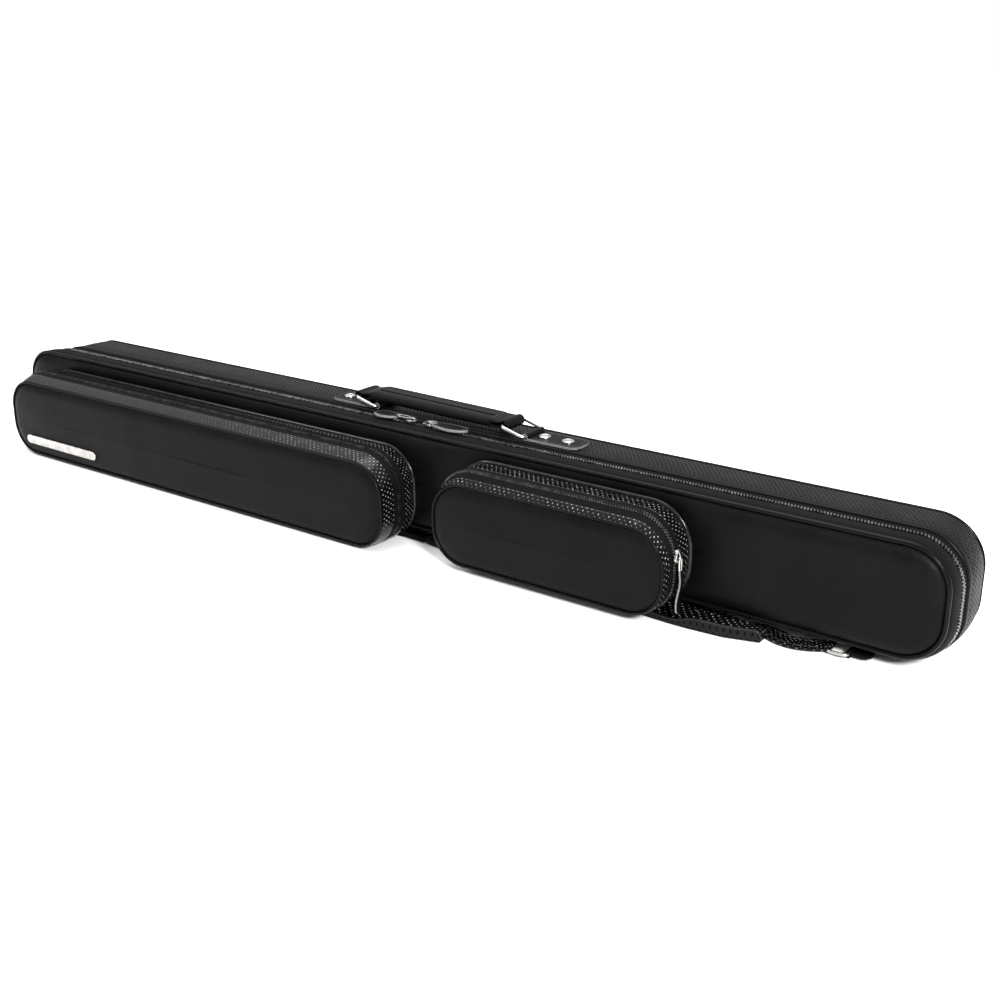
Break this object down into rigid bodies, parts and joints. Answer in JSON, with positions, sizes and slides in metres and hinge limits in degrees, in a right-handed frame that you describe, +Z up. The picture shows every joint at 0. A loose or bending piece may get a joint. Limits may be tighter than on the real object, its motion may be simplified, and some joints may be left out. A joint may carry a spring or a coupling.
{
  "type": "cue case",
  "caption": "Long soft case for a jointed billiard cue, with a zipped lid, two zipped front pockets, a carrying handle and a shoulder strap.",
  "frame": {"origin": "on the ground, under the centre of the case's bounding box", "axes": "+X along the case to the end with the small pocket, -Y to the front where the pockets are, +Z up"},
  "size_m": [0.8728, 0.1078, 0.1001],
  "materials": {
    "smooth_leather": "smooth black synthetic leather, satin",
    "ribbed_vinyl": "black embossed vinyl with a fine woven rib, semi-gloss",
    "patent_vinyl": "black perforated patent vinyl, glossy",
    "textile": "black woven zip tape and gusset cloth, matt",
    "nickel": "bright nickel plate",
    "dark_nickel": "dark nickel plate",
    "lining": "short velvet pile",
    "foam": "velvet over dense foam",
    "board": "stiffening board"
  },
  "bodies": {
    "tray": {"back_panel": "smooth_leather", "tray_wall": "ribbed_vinyl", "tray_binding": "smooth_leather", "tray_zip_tape": "textile", "tray_zip_chain": "dark_nickel", "hinge_strip": "textile", "cue_bed": "foam", "cue_divider_lower": "lining", "cue_divider_upper": "lining", "hold_strap_left": "textile", "hold_strap_right": "textile", "handle_tab_left": "smooth_leather", "handle_tab_right": "smooth_leather", "rivet_left_outer": "nickel", "rivet_left_inner": "nickel", "rivet_right_inner": "nickel", "rivet_right_outer": "nickel"},
    "lid": {"lid_panel": "smooth_leather", "lid_piping": "smooth_leather", "lid_board": "board", "lid_lining": "lining", "lid_wall": "textile", "lid_zip_tape": "textile", "lid_zip_chain": "dark_nickel", "pocket_large_wall": "textile", "pocket_large_flange": "patent_vinyl", "pocket_small_wall": "textile", "pocket_small_flange": "patent_vinyl", "strap_pad": "smooth_leather", "strap_web_left": "smooth_leather", "strap_web_right": "smooth_leather", "strap_ring_left": "nickel", "strap_ring_right": "nickel", "strap_chape_left": "smooth_leather", "strap_chape_right": "smooth_leather"},
    "large_cover": {"pocket_large_gusset": "patent_vinyl", "pocket_large_panel": "smooth_leather", "pocket_large_piping": "smooth_leather", "name_bar": "nickel"},
    "small_cover": {"pocket_small_gusset": "patent_vinyl", "pocket_small_panel": "smooth_leather", "pocket_small_piping": "smooth_leather"},
    "large_slider": {"pocket_large_slider": "dark_nickel"},
    "large_pull": {"pocket_large_pull": "dark_nickel", "pocket_large_tab": "smooth_leather"},
    "small_slider": {"pocket_small_slider": "dark_nickel"},
    "small_pull": {"pocket_small_pull": "dark_nickel", "pocket_small_tab": "smooth_leather"},
    "left_slider": {"main_slider_left": "dark_nickel"},
    "left_pull": {"main_pull_left": "dark_nickel", "main_tab_left": "smooth_leather"},
    "right_slider": {"main_slider_right": "dark_nickel"},
    "right_pull": {"main_pull_right": "dark_nickel", "main_tab_right": "smooth_leather"},
    "left_ring": {"handle_ring_left": "nickel"},
    "right_ring": {"handle_ring_right": "nickel"},
    "handle": {"handle_loop_left": "smooth_leather", "handle_roll": "smooth_leather", "handle_flap": "smooth_leather", "handle_loop_right": "smooth_leather"}
  },
  "joints": [
    {"name": "lid_hinge", "type": "hinge", "parent": "tray", "child": "lid", "pos_m": [-0.0014, 0.0084, 0.0005], "axis": [1, 0, 0], "range_deg": [0, 160]},
    {"name": "large_pocket_hinge", "type": "hinge", "parent": "lid", "child": "large_cover", "pos_m": [-0.0014, -0.03115, 0], "axis": [1, 0, 0], "range_deg": [0, 70]},
    {"name": "small_pocket_hinge", "type": "hinge", "parent": "lid", "child": "small_cover", "pos_m": [-0.0014, -0.03375, 0.005], "axis": [1, 0, 0], "range_deg": [0, 70]},
    {"name": "large_zip_slide", "type": "slide", "parent": "lid", "child": "large_slider", "axis": [0, 0, 1], "range_m": [-0.01, 0]},
    {"name": "large_zip_pull", "type": "hinge", "parent": "large_slider", "child": "large_pull", "pos_m": [-0.42245, -0.0311, 0.044], "axis": [0, 1, 0], "range_deg": [0, 110]},
    {"name": "small_zip_slide", "type": "slide", "parent": "lid", "child": "small_slider", "axis": [0, 0, 1], "range_m": [-0.006, 0]},
    {"name": "small_zip_pull", "type": "hinge", "parent": "small_slider", "child": "small_pull", "pos_m": [0.26765, -0.0337, 0.051], "axis": [0, -1, 0], "range_deg": [0, 110]},
    {"name": "left_zip_slide", "type": "slide", "parent": "tray", "child": "left_slider", "axis": [-1, 0, 0], "range_m": [0, 0.385]},
    {"name": "left_zip_pull", "type": "hinge", "parent": "left_slider", "child": "left_pull", "pos_m": [0.0126, 0.00725, 0.08995], "axis": [0, 1, 0], "range_deg": [0, 85]},
    {"name": "right_zip_slide", "type": "slide", "parent": "tray", "child": "right_slider", "axis": [1, 0, 0], "range_m": [0, 0.36]},
    {"name": "right_zip_pull", "type": "hinge", "parent": "right_slider", "child": "right_pull", "pos_m": [0.0286, 0.00725, 0.08995], "axis": [0, -1, 0], "range_deg": [0, 85]},
    {"name": "handle_lift", "type": "hinge", "parent": "tray", "child": "left_ring", "pos_m": [-0.0324, 0.0298, 0.0894], "axis": [0, 1, 0], "range_deg": [0, 140]},
    {"name": "handle_level", "type": "hinge", "parent": "left_ring", "child": "handle", "pos_m": [-0.05172, 0.0298, 0.09458], "axis": [0, 1, 0], "range_deg": [-140, 0]},
    {"name": "right_ring_swing", "type": "hinge", "parent": "tray", "child": "right_ring", "pos_m": [0.1086, 0.0298, 0.0894], "axis": [0, 1, 0], "range_deg": [0, 140]}
  ],
  "couplings": [
    {"joint": "handle_level", "follows": "handle_lift", "ratio": -1},
    {"joint": "right_ring_swing", "follows": "handle_lift", "ratio": 1}
  ]
}
